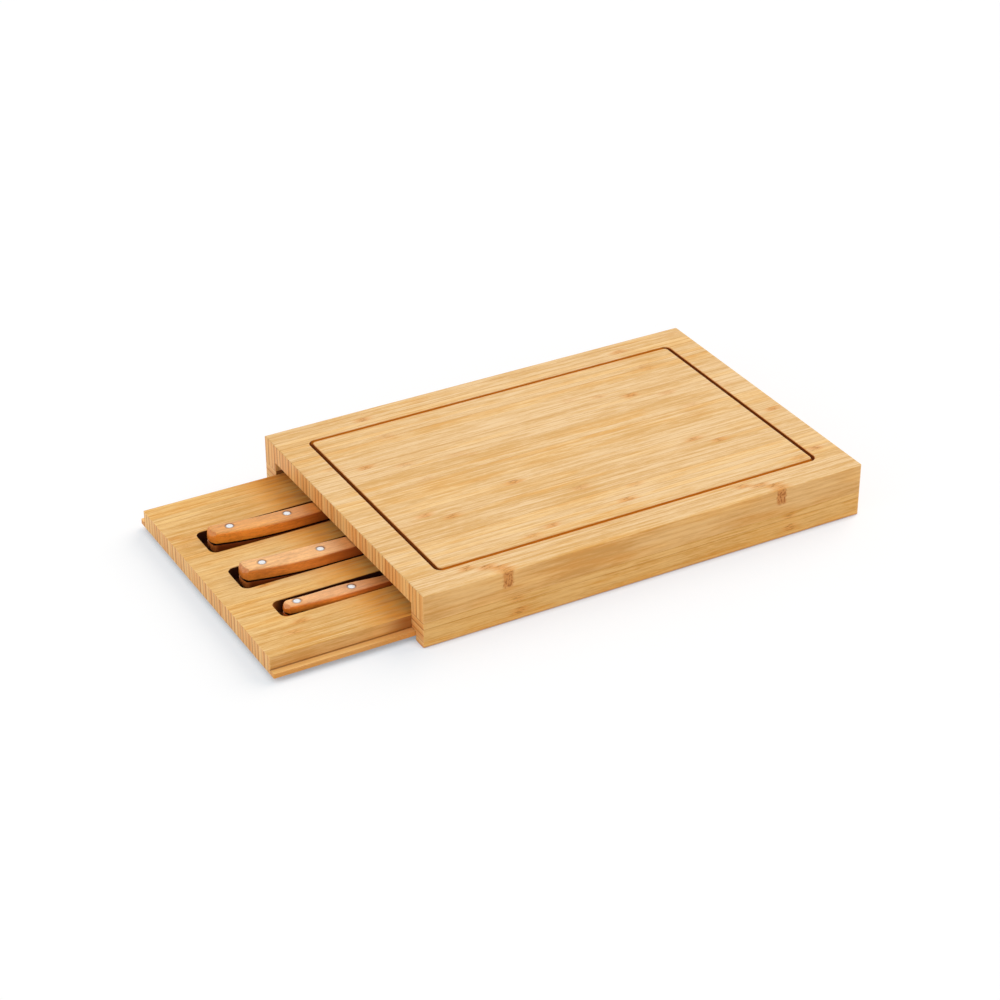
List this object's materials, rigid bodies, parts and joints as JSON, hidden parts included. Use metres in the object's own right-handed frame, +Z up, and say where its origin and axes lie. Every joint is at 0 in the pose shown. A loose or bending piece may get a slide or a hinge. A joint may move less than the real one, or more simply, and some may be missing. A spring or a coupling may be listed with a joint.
{
  "type": "cutting board with knife tray",
  "caption": "Thick bamboo cutting board with a juice groove and a slide-out tray under it that stores knives with riveted wooden handles in long pockets.",
  "frame": {"origin": "centre of the board's underside, on the surface that it stands on", "axes": "+X along the board's length towards its closed end, so the tray opens towards -X; +Y across the board away from its near side; +Z up"},
  "size_m": [0.4655, 0.251, 0.0415],
  "materials": {
    "bamboo_board": "fine satin oil finish, strips glued side by side along X",
    "bamboo_tray": "fine satin oil finish, strips glued side by side along X",
    "bamboo_panel": "plain sanded",
    "handle_wood": "red-brown hardwood, satin lacquer",
    "blade_steel": "fine brushed",
    "rivet_steel": "polished"
  },
  "bodies": {
    "board": {"top_board": "bamboo_board", "front_rail": "bamboo_board", "back_rail": "bamboo_board", "end_rail": "bamboo_board", "bottom_panel": "bamboo_panel"},
    "tray": {"tray": "bamboo_tray"},
    "carving_knife": {"carving_blade": "blade_steel", "carving_upper_scale": "handle_wood", "carving_lower_scale": "handle_wood", "carving_rivets": "rivet_steel"},
    "bread_knife": {"bread_blade": "blade_steel", "bread_upper_scale": "handle_wood", "bread_lower_scale": "handle_wood", "bread_rivets": "rivet_steel"},
    "paring_knife": {"paring_blade": "blade_steel", "paring_upper_scale": "handle_wood", "paring_lower_scale": "handle_wood", "paring_rivets": "rivet_steel"}
  },
  "joints": [
    {"name": "tray_slide", "type": "slide", "parent": "board", "child": "tray", "axis": [1, 0, 0], "range_m": [-0.2195, 0.1055]},
    {"name": "carving_knife_shift", "type": "slide", "parent": "tray", "child": "carving_knife", "axis": [1, 0, 0], "range_m": [-0.0045, 0.0025]},
    {"name": "bread_knife_shift", "type": "slide", "parent": "tray", "child": "bread_knife", "axis": [1, 0, 0], "range_m": [-0.0045, 0.0025]},
    {"name": "paring_knife_shift", "type": "slide", "parent": "tray", "child": "paring_knife", "axis": [1, 0, 0], "range_m": [-0.0047, 0.0025]}
  ]
}
